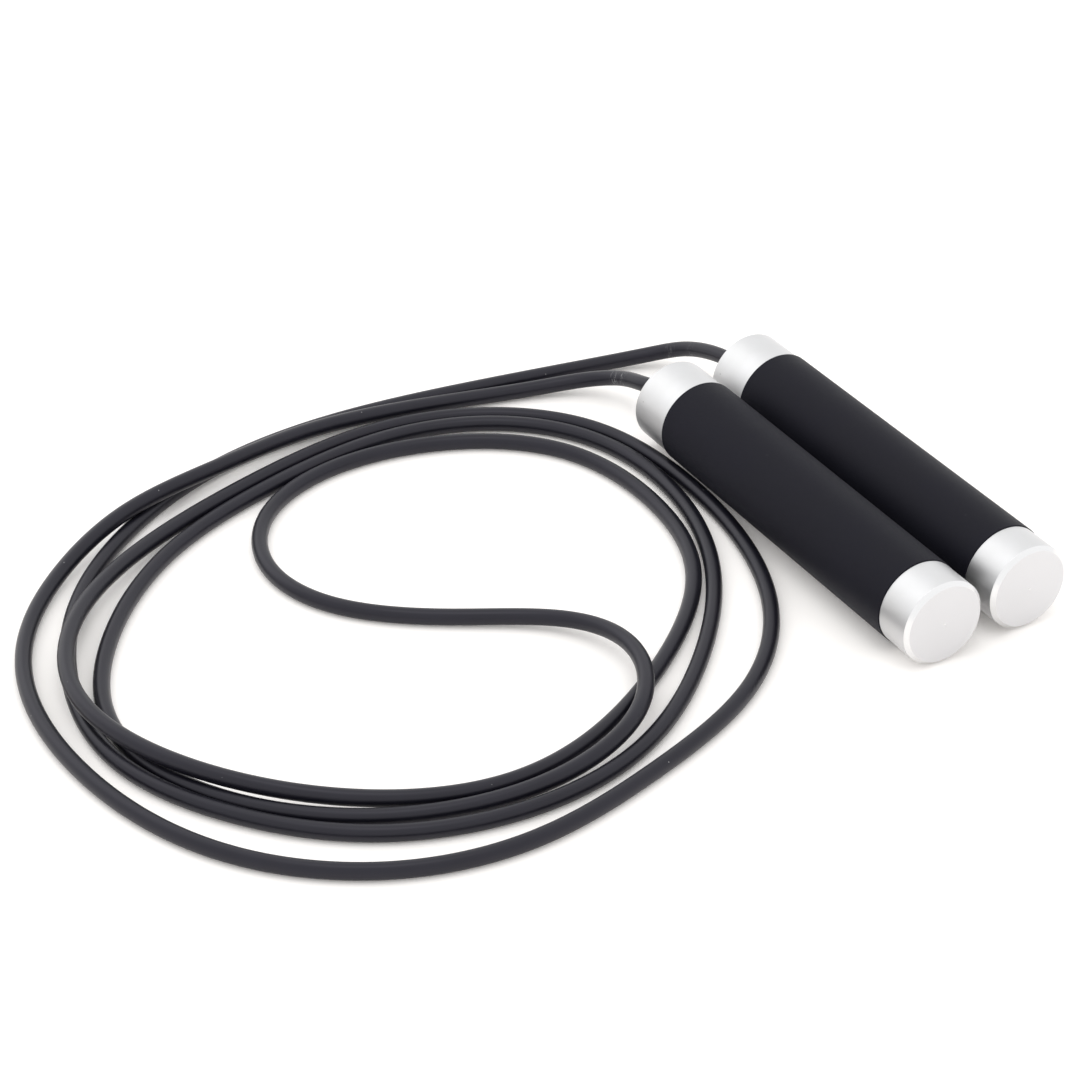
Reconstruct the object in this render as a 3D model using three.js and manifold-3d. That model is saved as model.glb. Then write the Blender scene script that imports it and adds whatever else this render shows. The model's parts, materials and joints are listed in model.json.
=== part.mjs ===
// A jump rope: two handles lying side by side, and one long cord that lies beside them in loose loops.
// Millimetres, +Z up. The origin is on the floor, midway between the handles. +X runs along the
// handles from the rope end to the rear caps.
//
// Each handle spins freely on a ball bearing in its front cap. The cord, the spindle, the bearing's
// inner race, the washer and the crimped stop stay still while the rest of the handle turns round
// them. The rear cap unscrews, so that the weight can be taken out.

import * as THREE from 'three';
import { NURBSCurve } from 'three/addons/curves/NURBSCurve.js';
import { mergeVertices } from 'three/addons/utils/BufferGeometryUtils.js';
import Module from 'manifold-3d';

const wasm = await Module();
wasm.setup();

// ---- driving dimensions ----

const GAP = 0.3; // left between pieces that touch or run in each other

const SLEEVE_RADIUS = 15; // the handle is 30 mm across
const SLEEVE_LENGTH = 125.5;
const SLEEVE_WALL = 2;
const FRONT_CAP_LENGTH = 17.5; // the part of each cap that shows
const REAR_CAP_LENGTH = 14.25;
const FRONT_CAP_RADIUS = 14.5;
const REAR_CAP_RADIUS = 14.7;
const HANDLE_LENGTH = FRONT_CAP_LENGTH + SLEEVE_LENGTH + REAR_CAP_LENGTH;

const HANDLE_HALF_SPACING = 16.72; // from the middle to each handle's axis, at its mid-length
const HANDLE_STAGGER = 1.05; // handle a lies this far back, handle b this far forward
const HANDLE_TOE = THREE.MathUtils.degToRad(0.4); // each handle points this much outward at the rear

const CORD_DIAMETER = 5.4;
const CORD_RADIUS = CORD_DIAMETER / 2;
const CORD_END_DEPTH = 18.5; // how far the cord's end lies inside the front cap
const CORD_SIDES = 8;

const TUBE_WALL = 1.5;
const TUBE_RADIUS = SLEEVE_RADIUS - SLEEVE_WALL - GAP;
const TUBE_BORE = TUBE_RADIUS - TUBE_WALL;
const SPIGOT_RADIUS = TUBE_BORE - GAP; // the threaded neck of each cap, inside the core tube
const FRONT_SPIGOT_LENGTH = 12;
const REAR_SPIGOT_LENGTH = 14;

// The bearing is the standard 8 x 16 x 5 mm size.
const BEARING_FRONT = 3.3; // its front face, behind the front cap's outer face
const BEARING_WIDTH = 5;
const BEARING_REAR = BEARING_FRONT + BEARING_WIDTH;
const BEARING_MIDDLE = BEARING_FRONT + BEARING_WIDTH / 2;
const BEARING_BORE = 4;
const BEARING_OUTER = 8 - GAP;
const INNER_LAND = 5.15; // radius of the inner race beside its groove
const OUTER_LAND = 6.75;
const GROOVE_DEPTH = 0.45;
const GROOVE_HALF_WIDTH = 1;
const GROOVE_FLOOR_HALF_WIDTH = 0.4;
const BALL_RADIUS = 0.9;
const BALL_COUNT = 9;
const BALL_PITCH_RADIUS = (INNER_LAND + OUTER_LAND) / 2;
const SHIELD_THICKNESS = 0.35;
const SHIELD_RECESS = 0.2;

const CIRCLIP_FRONT = BEARING_REAR + GAP;
const CIRCLIP_THICKNESS = 0.9;
const CIRCLIP_REAR = CIRCLIP_FRONT + CIRCLIP_THICKNESS;
const CIRCLIP_GROOVE_RADIUS = 8.9;

const SPINDLE_RADIUS = BEARING_BORE - GAP;
const SPINDLE_BORE = CORD_RADIUS + GAP;
const SPINDLE_FLANGE_RADIUS = 5.4;
const SPINDLE_FLANGE_THICKNESS = 1.2;
const SPINDLE_FLANGE_REAR = CIRCLIP_FRONT + SPINDLE_FLANGE_THICKNESS;
const FRONT_HOLE_RADIUS = 4.3;

const WASHER_THICKNESS = 0.6;
const WASHER_FRONT = SPINDLE_FLANGE_REAR + GAP;
const WASHER_REAR = WASHER_FRONT + WASHER_THICKNESS;
const WASHER_RADIUS = 5.2;
const STOP_LENGTH = 8;
const STOP_FRONT = WASHER_REAR + GAP;
const STOP_REAR = STOP_FRONT + STOP_LENGTH;
const STOP_RADIUS = 4.6;

const LINER_FRONT = 32;
const LINER_REAR = 128;
const LINER_WALL = 1.6;
const LINER_RADIUS = SPIGOT_RADIUS;
const WEIGHT_RADIUS = LINER_RADIUS - LINER_WALL - GAP;
const WEIGHT_FRONT = 45;
const WEIGHT_REAR = 115;

const LARGE_SIDES = 32; // sides of the pieces that show
const SMALL_SIDES = 20;

// ---- shapes ----

// A solid of revolution about the handle's own X axis. Each point of the profile is
// [distance along the axis from the front cap's outer face, radius], and a solid's profile runs from
// front to rear.
function turned(profile, sides) {
  const points = profile.map(([along, radius]) => new THREE.Vector2(radius, along));
  const geometry = new THREE.LatheGeometry(points, sides);
  geometry.rotateZ(-Math.PI / 2);
  return geometry;
}

// The same for a ring or tube. Its profile is listed along the bore from front to rear, then back
// along the outside. It is closed and reversed here, so that the faces point out.
function turnedRing(profile, sides) {
  return turned([...profile, profile[0]].reverse(), sides);
}

function plainTube(front, rear, bore, radius, sides) {
  return turnedRing([[front, bore], [rear, bore], [rear, radius], [front, radius]], sides);
}

// Turns a flat outline in the YZ plane into a plate that runs from front to rear along X.
function plate(shape, front, rear) {
  const geometry = new THREE.ExtrudeGeometry(shape, {
    depth: rear - front,
    bevelEnabled: false,
    curveSegments: SMALL_SIDES / 2,
  });
  geometry.rotateY(Math.PI / 2);
  geometry.translate(front, 0, 0);
  return geometry;
}

function toManifold(geometry) {
  const bare = geometry.clone();
  bare.deleteAttribute('normal');
  bare.deleteAttribute('uv');
  const merged = mergeVertices(bare, 1e-4);
  return new wasm.Manifold(new wasm.Mesh({
    numProp: 3,
    vertProperties: new Float32Array(merged.attributes.position.array),
    triVerts: new Uint32Array(merged.index.array),
  }));
}

function fromManifold(solid) {
  const mesh = solid.getMesh();
  const geometry = new THREE.BufferGeometry();
  geometry.setAttribute('position', new THREE.BufferAttribute(mesh.vertProperties, 3));
  geometry.setIndex(new THREE.BufferAttribute(mesh.triVerts, 1));
  geometry.computeVertexNormals();
  return geometry;
}

// ---- the outside of a handle ----

const SLEEVE_FRONT = FRONT_CAP_LENGTH + GAP / 2;
const SLEEVE_REAR = FRONT_CAP_LENGTH + SLEEVE_LENGTH - GAP / 2;
const REAR_CAP_FRONT = FRONT_CAP_LENGTH + SLEEVE_LENGTH + GAP / 2;
const EDGE = 0.5; // small chamfer on outer edges
const REAR_CHAMFER = 1.3;

function gripSleeve() {
  const bore = SLEEVE_RADIUS - SLEEVE_WALL;
  return turnedRing([
    [SLEEVE_FRONT, bore],
    [SLEEVE_REAR, bore],
    [SLEEVE_REAR, SLEEVE_RADIUS - EDGE],
    [SLEEVE_REAR - EDGE, SLEEVE_RADIUS],
    [SLEEVE_FRONT + EDGE, SLEEVE_RADIUS],
    [SLEEVE_FRONT, SLEEVE_RADIUS - EDGE],
  ], LARGE_SIDES);
}

function coreTube() {
  return plainTube(SLEEVE_FRONT + GAP, SLEEVE_REAR - GAP, TUBE_BORE, TUBE_RADIUS, LARGE_SIDES);
}

// The front cap is bored from behind for the bearing, with a groove for the circlip.
function frontCap() {
  const seat = BEARING_OUTER + GAP;
  const spigotEnd = FRONT_CAP_LENGTH + FRONT_SPIGOT_LENGTH;
  const shoulder = FRONT_CAP_LENGTH - GAP / 2;
  return turnedRing([
    [0, FRONT_HOLE_RADIUS + EDGE],
    [EDGE, FRONT_HOLE_RADIUS],
    [BEARING_FRONT - GAP, FRONT_HOLE_RADIUS],
    [BEARING_FRONT - GAP, seat],
    [CIRCLIP_FRONT - GAP, seat],
    [CIRCLIP_FRONT - GAP, CIRCLIP_GROOVE_RADIUS],
    [CIRCLIP_REAR + GAP, CIRCLIP_GROOVE_RADIUS],
    [CIRCLIP_REAR + GAP, seat],
    [spigotEnd, seat],
    [spigotEnd, SPIGOT_RADIUS],
    [shoulder, SPIGOT_RADIUS],
    [shoulder, FRONT_CAP_RADIUS],
    [EDGE, FRONT_CAP_RADIUS],
    [0, FRONT_CAP_RADIUS - EDGE],
  ], LARGE_SIDES);
}

const O_RING_AT = REAR_CAP_FRONT - 2.5;
const O_RING_THICKNESS = 1.3;
const O_RING_GROOVE_RADIUS = 9.3;

// The rear cap is a hollow plug with a groove for its O-ring.
function rearCap() {
  const spigotEnd = REAR_CAP_FRONT - REAR_SPIGOT_LENGTH;
  const grooveFront = O_RING_AT - O_RING_THICKNESS / 2 - GAP;
  const grooveRear = O_RING_AT + O_RING_THICKNESS / 2 + GAP;
  const hollowRadius = 7;
  const hollowEnd = REAR_CAP_FRONT + 7;
  return turned([
    [hollowEnd, 0],
    [hollowEnd, hollowRadius],
    [spigotEnd, hollowRadius],
    [spigotEnd, SPIGOT_RADIUS - EDGE],
    [spigotEnd + EDGE, SPIGOT_RADIUS],
    [grooveFront, SPIGOT_RADIUS],
    [grooveFront, O_RING_GROOVE_RADIUS],
    [grooveRear, O_RING_GROOVE_RADIUS],
    [grooveRear, SPIGOT_RADIUS],
    [REAR_CAP_FRONT, SPIGOT_RADIUS],
    [REAR_CAP_FRONT, REAR_CAP_RADIUS],
    [HANDLE_LENGTH - REAR_CHAMFER, REAR_CAP_RADIUS],
    [HANDLE_LENGTH, REAR_CAP_RADIUS - REAR_CHAMFER],
    [HANDLE_LENGTH, 0],
  ], LARGE_SIDES);
}

function oRing() {
  const thickness = O_RING_THICKNESS / 2;
  const middle = O_RING_GROOVE_RADIUS + GAP + thickness;
  const geometry = new THREE.TorusGeometry(middle, thickness, 6, LARGE_SIDES);
  geometry.rotateY(Math.PI / 2);
  geometry.translate(O_RING_AT, 0, 0);
  return geometry;
}

// ---- the bearing ----

function outerRace() {
  const bottom = OUTER_LAND + GROOVE_DEPTH;
  return turnedRing([
    [BEARING_FRONT, OUTER_LAND],
    [BEARING_MIDDLE - GROOVE_HALF_WIDTH, OUTER_LAND],
    [BEARING_MIDDLE - GROOVE_FLOOR_HALF_WIDTH, bottom],
    [BEARING_MIDDLE + GROOVE_FLOOR_HALF_WIDTH, bottom],
    [BEARING_MIDDLE + GROOVE_HALF_WIDTH, OUTER_LAND],
    [BEARING_REAR, OUTER_LAND],
    [BEARING_REAR, BEARING_OUTER],
    [BEARING_FRONT, BEARING_OUTER],
  ], SMALL_SIDES);
}

function innerRace() {
  const bottom = INNER_LAND - GROOVE_DEPTH;
  return turnedRing([
    [BEARING_FRONT, BEARING_BORE],
    [BEARING_REAR, BEARING_BORE],
    [BEARING_REAR, INNER_LAND],
    [BEARING_MIDDLE + GROOVE_HALF_WIDTH, INNER_LAND],
    [BEARING_MIDDLE + GROOVE_FLOOR_HALF_WIDTH, bottom],
    [BEARING_MIDDLE - GROOVE_FLOOR_HALF_WIDTH, bottom],
    [BEARING_MIDDLE - GROOVE_HALF_WIDTH, INNER_LAND],
    [BEARING_FRONT, INNER_LAND],
  ], SMALL_SIDES);
}

// The cage is a flat ring that holds the balls at even spacing.
function ballCage() {
  const halfWidth = 0.5;
  const halfDepth = 0.4;
  let cage = toManifold(plainTube(
    BEARING_MIDDLE - halfWidth,
    BEARING_MIDDLE + halfWidth,
    BALL_PITCH_RADIUS - halfDepth,
    BALL_PITCH_RADIUS + halfDepth,
    SMALL_SIDES,
  ));
  for (let i = 0; i < BALL_COUNT; i += 1) {
    const angle = (i / BALL_COUNT) * 2 * Math.PI;
    const ball = new THREE.SphereGeometry(BALL_RADIUS, 6, 5);
    ball.translate(
      BEARING_MIDDLE,
      BALL_PITCH_RADIUS * Math.cos(angle),
      BALL_PITCH_RADIUS * Math.sin(angle),
    );
    cage = cage.add(toManifold(ball));
  }
  return fromManifold(cage);
}

// A thin ring beside the balls, set a little into the front or the rear of the bearing.
function bearingShield(front) {
  return plainTube(
    front,
    front + SHIELD_THICKNESS,
    INNER_LAND + GAP,
    OUTER_LAND - GAP,
    SMALL_SIDES,
  );
}

function frontShield() {
  return bearingShield(BEARING_FRONT + SHIELD_RECESS);
}

function rearShield() {
  return bearingShield(BEARING_REAR - SHIELD_RECESS - SHIELD_THICKNESS);
}

// An open spring ring with two lugs that point inward, each with a hole for the pliers.
function circlip() {
  const ringWidth = 1.2;
  const lugDepth = 1;
  const lugHole = 0.45;
  const outer = CIRCLIP_GROOVE_RADIUS - GAP;
  const inner = outer - ringWidth;
  const lug = inner - lugDepth;
  const mouth = THREE.MathUtils.degToRad(24);
  const lugEnd = THREE.MathUtils.degToRad(39);
  const shape = new THREE.Shape();
  shape.absarc(0, 0, outer, mouth, 2 * Math.PI - mouth, false);
  shape.absarc(0, 0, lug, 2 * Math.PI - mouth, 2 * Math.PI - lugEnd, true);
  shape.absarc(0, 0, inner, 2 * Math.PI - lugEnd, lugEnd, true);
  shape.absarc(0, 0, lug, lugEnd, mouth, true);
  shape.closePath();
  for (const side of [-1, 1]) {
    const angle = (side * (mouth + lugEnd)) / 2;
    const hole = new THREE.Path();
    const reach = (lug + outer) / 2;
    hole.absarc(reach * Math.cos(angle), reach * Math.sin(angle), lugHole, 0, 2 * Math.PI, true);
    shape.holes.push(hole);
  }
  return plate(shape, CIRCLIP_FRONT, CIRCLIP_REAR);
}

// ---- what the cord is held by ----

// A flanged bush through the bearing. Its nose is flush with the front cap's outer face.
function ropeSpindle() {
  const noseEdge = 0.3;
  return turnedRing([
    [0, SPINDLE_BORE],
    [SPINDLE_FLANGE_REAR, SPINDLE_BORE],
    [SPINDLE_FLANGE_REAR, SPINDLE_FLANGE_RADIUS],
    [CIRCLIP_FRONT, SPINDLE_FLANGE_RADIUS],
    [CIRCLIP_FRONT, SPINDLE_RADIUS],
    [noseEdge, SPINDLE_RADIUS],
    [0, SPINDLE_RADIUS - noseEdge],
  ], SMALL_SIDES);
}

function thrustWasher() {
  return plainTube(WASHER_FRONT, WASHER_REAR, SPINDLE_BORE, WASHER_RADIUS, SMALL_SIDES);
}

// A ferrule crimped on the cord's end, narrower along its middle.
function ropeStop() {
  const crimp = 0.5;
  const third = (STOP_REAR - STOP_FRONT) / 3;
  return turnedRing([
    [STOP_FRONT, SPINDLE_BORE],
    [STOP_REAR, SPINDLE_BORE],
    [STOP_REAR, STOP_RADIUS],
    [STOP_REAR - third + crimp, STOP_RADIUS],
    [STOP_REAR - third, STOP_RADIUS - crimp],
    [STOP_FRONT + third, STOP_RADIUS - crimp],
    [STOP_FRONT + third - crimp, STOP_RADIUS],
    [STOP_FRONT, STOP_RADIUS],
  ], SMALL_SIDES);
}

// ---- the weight ----

function weightLiner() {
  return plainTube(LINER_FRONT, LINER_REAR, LINER_RADIUS - LINER_WALL, LINER_RADIUS, SMALL_SIDES);
}

function weightBar() {
  const chamfer = 1;
  return turned([
    [WEIGHT_FRONT, 0],
    [WEIGHT_FRONT, WEIGHT_RADIUS - chamfer],
    [WEIGHT_FRONT + chamfer, WEIGHT_RADIUS],
    [WEIGHT_REAR - chamfer, WEIGHT_RADIUS],
    [WEIGHT_REAR, WEIGHT_RADIUS - chamfer],
    [WEIGHT_REAR, 0],
  ], SMALL_SIDES);
}

function foamPlug(front, rear) {
  return turned([[front, 0], [front, WEIGHT_RADIUS], [rear, WEIGHT_RADIUS], [rear, 0]], SMALL_SIDES);
}

function frontPlug() {
  return foamPlug(LINER_FRONT, WEIGHT_FRONT - GAP);
}

function rearPlug() {
  return foamPlug(WEIGHT_REAR + GAP, LINER_REAR);
}

// ---- the cord ----

// A point on a handle's axis, so far in front of its front cap. side is -1 for handle a, 1 for b.
function pointBeforeHandle(side, distance) {
  const along = -(HANDLE_LENGTH / 2 + distance);
  return [
    -side * HANDLE_STAGGER + along * Math.cos(HANDLE_TOE),
    side * (HANDLE_HALF_SPACING + along * Math.sin(HANDLE_TOE)),
    (SLEEVE_RADIUS - CORD_RADIUS) / CORD_DIAMETER,
  ];
}

// Where the cord runs straight in and out of each handle, in front of the cap's outer face.
const STRAIGHT_RUN = [-CORD_END_DEPTH, -12, -5, 2, 9];

// The cord's route from handle a to handle b: [x, y, how many cord diameters it is raised off the
// floor]. It makes four loose turns and doubles back through the middle between the second and the
// third. It is raised by one diameter or so where it lies over another stretch. x and y weren't
// chosen by hand: a program fitted them to the photo, and they were rounded to the millimetre. A few
// were then moved by hand, and the heights were set by hand beside that program's.
const LOOPS = [
  // down from handle a and once round the outside
  [-94, -18, 2], [-106, -17, 1.3], [-119, -25, 0.4], [-126, -46, 0], [-135, -80, 0.1],
  [-139, -123, 0.6], [-127, -163, 1.2], [-122, -201, 1.1], [-105, -234, 0.1], [-74, -262, 0],
  [-32, -274, 0], [19, -270, 0], [60, -251, 0], [88, -215, 0], [96, -171, 0],
  [83, -124, 0], [67, -79, 0], [35, -47, 0], [-9, -31, 0], [-58, -28, 0],
  // the second turn
  [-97, -36, 0], [-123, -66, 0], [-133, -106, 0], [-122, -155, 0.1], [-103, -208, 0.3],
  [-70, -248, 1.1], [-28, -265, 1.3], [16, -251, 1.2], [50, -216, 0.4], [69, -172, 0],
  [62, -131, 0], [35, -88, 0], [0, -52, 0], [-45, -43, 0], [-88, -50, 0], [-113, -84, 0],
  // back through the middle and over the second turn
  [-119.5, -126, 0], [-105, -161, 0], [-74, -177, 0], [-42, -169, 0], [-18, -139, 0],
  [0, -105, 0.2], [31, -96, 1.1], [65, -114, 1], [77, -158, 0.1], [63, -211, 0],
  // the third turn
  [25, -249, 0], [-22, -259, 0], [-65, -236, 0], [-101, -198, 0], [-118, -149, 0],
  [-127, -100, 0], [-114, -61, 0], [-85, -37, 0], [-41, -34, 0], [4, -49, 0],
  // the fourth turn, under the first one and up to handle b
  [44, -82, 0], [74, -120, 0], [83, -165, 0], [71, -211, 0], [39, -244, 0], [-2, -264, 0],
  [-46, -258, 0], [-88, -237, 0], [-119, -202, 0], [-140, -158, 0], [-144, -110, 0],
  [-137, -61, 0], [-129, -19, 0], [-123, 4, 0.2], [-115, 13, 1], [-101, 15, 1.9],
];

// A smooth curve that its points pull towards them. It is cut into steps at even values of its own
// parameter, so the steps are short where the points are close: at the handles and in the bends.
class CordPath extends NURBSCurve {
  getUtoTmapping(u) {
    return u;
  }
}

function cordPath() {
  const start = STRAIGHT_RUN.map((distance) => pointBeforeHandle(-1, distance));
  const end = STRAIGHT_RUN.map((distance) => pointBeforeHandle(1, distance)).reverse();
  const points = [...start, ...LOOPS, ...end].map(
    ([x, y, raised]) => new THREE.Vector4(x, y, CORD_RADIUS + raised * CORD_DIAMETER, 1),
  );
  const degree = 3;
  const spans = points.length - degree;
  const knots = [];
  for (let i = -degree; i <= spans + degree; i += 1) {
    knots.push(THREE.MathUtils.clamp(i / spans, 0, 1));
  }
  return { curve: new CordPath(degree, knots, points), spans };
}

function cord() {
  const { curve, spans } = cordPath();
  const section = new THREE.Shape();
  for (let i = 0; i < CORD_SIDES; i += 1) {
    const angle = ((i + 0.5) / CORD_SIDES) * 2 * Math.PI;
    const x = CORD_RADIUS * Math.cos(angle);
    const y = CORD_RADIUS * Math.sin(angle);
    if (i === 0) {
      section.moveTo(x, y);
    } else {
      section.lineTo(x, y);
    }
  }
  section.closePath();
  return new THREE.ExtrudeGeometry(section, { steps: spans, extrudePath: curve });
}

// ---- materials ----

const FINISHES = {
  softTouch: { color: 0x17171a, roughness: 0.75, metalness: 0 },
  plastic: { color: 0x24252a, roughness: 0.5, metalness: 0 },
  aluminium: { color: 0xd5d6d6, roughness: 0.35, metalness: 1 },
  steel: { color: 0xa8aaad, roughness: 0.25, metalness: 1 },
  brass: { color: 0xb08d46, roughness: 0.35, metalness: 1 },
  rubber: { color: 0x0e0e0f, roughness: 0.8, metalness: 0 },
  foam: { color: 0x55575c, roughness: 1, metalness: 0 },
  vinyl: { color: 0x1c1b20, roughness: 0.42, metalness: 0 },
};

function namedMesh(name, geometry, finish) {
  const mesh = new THREE.Mesh(geometry, new THREE.MeshStandardMaterial(FINISHES[finish]));
  mesh.name = name;
  return mesh;
}

// ---- assembly ----

const HANDLE_PIECES = [
  ['grip_sleeve', gripSleeve, 'softTouch'],
  ['core_tube', coreTube, 'plastic'],
  ['front_cap', frontCap, 'aluminium'],
  ['bearing_outer_race', outerRace, 'steel'],
  ['bearing_inner_race', innerRace, 'steel'],
  ['ball_cage', ballCage, 'steel'],
  ['bearing_front_shield', frontShield, 'steel'],
  ['bearing_rear_shield', rearShield, 'steel'],
  ['bearing_circlip', circlip, 'steel'],
  ['rope_spindle', ropeSpindle, 'steel'],
  ['thrust_washer', thrustWasher, 'brass'],
  ['rope_stop', ropeStop, 'brass'],
  ['weight_liner', weightLiner, 'foam'],
  ['weight_bar', weightBar, 'steel'],
  ['foam_plug_front', frontPlug, 'foam'],
  ['foam_plug_rear', rearPlug, 'foam'],
  ['rear_cap', rearCap, 'aluminium'],
  ['rear_cap_o_ring', oRing, 'rubber'],
];

// One handle, lying on the floor. Inside it, X runs from the front cap's outer face to the rear.
function handle(letter, side) {
  const inner = new THREE.Group();
  inner.position.x = -HANDLE_LENGTH / 2;
  for (const [name, build, finish] of HANDLE_PIECES) {
    inner.add(namedMesh(`${name}_${letter}`, build(), finish));
  }
  const outer = new THREE.Group();
  outer.position.set(-side * HANDLE_STAGGER, side * HANDLE_HALF_SPACING, SLEEVE_RADIUS);
  outer.rotation.z = side * HANDLE_TOE;
  outer.add(inner);
  return outer;
}

const jumpRope = new THREE.Group();
jumpRope.add(handle('a', -1));
jumpRope.add(handle('b', 1));
jumpRope.add(namedMesh('cord', cord(), 'vinyl'));

export default jumpRope;
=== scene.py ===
import json
import math

import bmesh
import bpy
from mathutils import Matrix, Vector


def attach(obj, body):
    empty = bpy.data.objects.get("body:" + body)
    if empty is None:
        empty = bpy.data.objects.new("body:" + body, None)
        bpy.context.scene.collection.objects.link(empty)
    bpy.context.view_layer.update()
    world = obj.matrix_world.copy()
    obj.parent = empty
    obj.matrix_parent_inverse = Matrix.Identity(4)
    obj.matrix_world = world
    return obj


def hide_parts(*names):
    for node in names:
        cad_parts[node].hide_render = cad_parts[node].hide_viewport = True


# The looks of a jump rope: two round handles and one long cord in loose loops. Metres, +Z up.
# Each handle's pieces are turned about the handle's own X axis, which runs from the front cap's outer
# face, where the cord comes out, to the rear cap's end.

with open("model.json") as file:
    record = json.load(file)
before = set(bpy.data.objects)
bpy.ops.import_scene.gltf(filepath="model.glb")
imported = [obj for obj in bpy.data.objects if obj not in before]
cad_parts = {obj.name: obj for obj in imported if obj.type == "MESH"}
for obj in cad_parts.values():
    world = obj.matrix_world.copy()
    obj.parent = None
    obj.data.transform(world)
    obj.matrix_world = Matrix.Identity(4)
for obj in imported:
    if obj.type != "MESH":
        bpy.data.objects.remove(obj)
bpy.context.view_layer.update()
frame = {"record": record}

MM = 0.001

# ---- sizes, as in the CAD model, in millimetres ----

GAP = 0.3  # between CAD solids that touch
CLOSE = 0.1  # between touching pieces here, inside the handle
SEAM = 0.02  # half the hairline between the sleeve and each cap

SLEEVE_RADIUS = 15
SLEEVE_LENGTH = 125.5
SLEEVE_WALL = 2
FRONT_CAP_LENGTH = 17.5
REAR_CAP_LENGTH = 14.25
FRONT_CAP_RADIUS = 14.5
REAR_CAP_RADIUS = 14.7
REAR_CHAMFER = 1.3
HANDLE_LENGTH = FRONT_CAP_LENGTH + SLEEVE_LENGTH + REAR_CAP_LENGTH

CORD_DIAMETER = 5.4
CORD_RADIUS = CORD_DIAMETER / 2
CORD_END_DEPTH = 18.5

SLEEVE_FRONT = FRONT_CAP_LENGTH + SEAM
SLEEVE_REAR = FRONT_CAP_LENGTH + SLEEVE_LENGTH - SEAM

TUBE_RADIUS = SLEEVE_RADIUS - SLEEVE_WALL - GAP / 3
TUBE_BORE = 11.2
SPIGOT_RADIUS = TUBE_BORE - GAP / 2
FRONT_SPIGOT_LENGTH = 12
REAR_SPIGOT_LENGTH = 14

THREAD_PITCH = 1.25
THREAD_DEPTH = 0.5
THREAD_MARGIN = 1  # plain metal beyond each end of a thread

ROUND_STEPS = 144  # round a handle's pieces
CORD_SIDES = 24
CORD_RING_STEP = 2.4  # millimetres between the rings of the cord's surface

# ---- the frame ----


def record_item(items, name):
    return next(item for item in items if item["name"] == name)


def handle_matrix(letter):
    """The place of a handle: its own X axis starts at the front cap's outer face."""
    record = frame["record"]
    spin = record_item(record["behaviour"]["joints"], f"handle_{letter}_spin")
    rear = record_item(record["mounts"], f"rear_face_{letter}")
    axis = Vector(spin["axis"]).normalized()
    start = Vector(rear["pos_m"]) - axis * HANDLE_LENGTH * MM
    side = Vector((0, 0, 1)).cross(axis).normalized()
    turn = Matrix((axis, side, Vector((0, 0, 1)))).transposed().to_4x4()
    return Matrix.Translation(start) @ turn


HANDLES = {letter: handle_matrix(letter) for letter in "ab"}

# ---- camera ----

CAMERA_PLACE = Vector((0.79615, -0.59615, 0.64308))
CAMERA_LOOKS_AT = Vector((-0.04535, -0.08774, 0))
CAMERA_LENS = 119.6
SENSOR_WIDTH = 36


def add_camera():
    """Looks down on the rope from behind the rear caps, as the photograph does."""
    data = bpy.data.cameras.new("camera")
    data.sensor_width = SENSOR_WIDTH
    data.lens = CAMERA_LENS
    data.clip_start = 0.05
    data.clip_end = 20
    camera = bpy.data.objects.new("camera", data)
    bpy.context.scene.collection.objects.link(camera)
    camera.location = CAMERA_PLACE
    towards = CAMERA_LOOKS_AT - camera.location
    camera.rotation_euler = towards.to_track_quat("-Z", "Y").to_euler()
    bpy.context.scene.camera = camera


add_camera()

# ---- node materials ----

# Most of a noise's values lie between these.
NOISE_RANGE = (0.3, 0.7)

# A mix node's colour sockets share their names with its other sockets, so they go by number.
MIX_FIRST = 6
MIX_SECOND = 7
MIXED = 2


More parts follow.
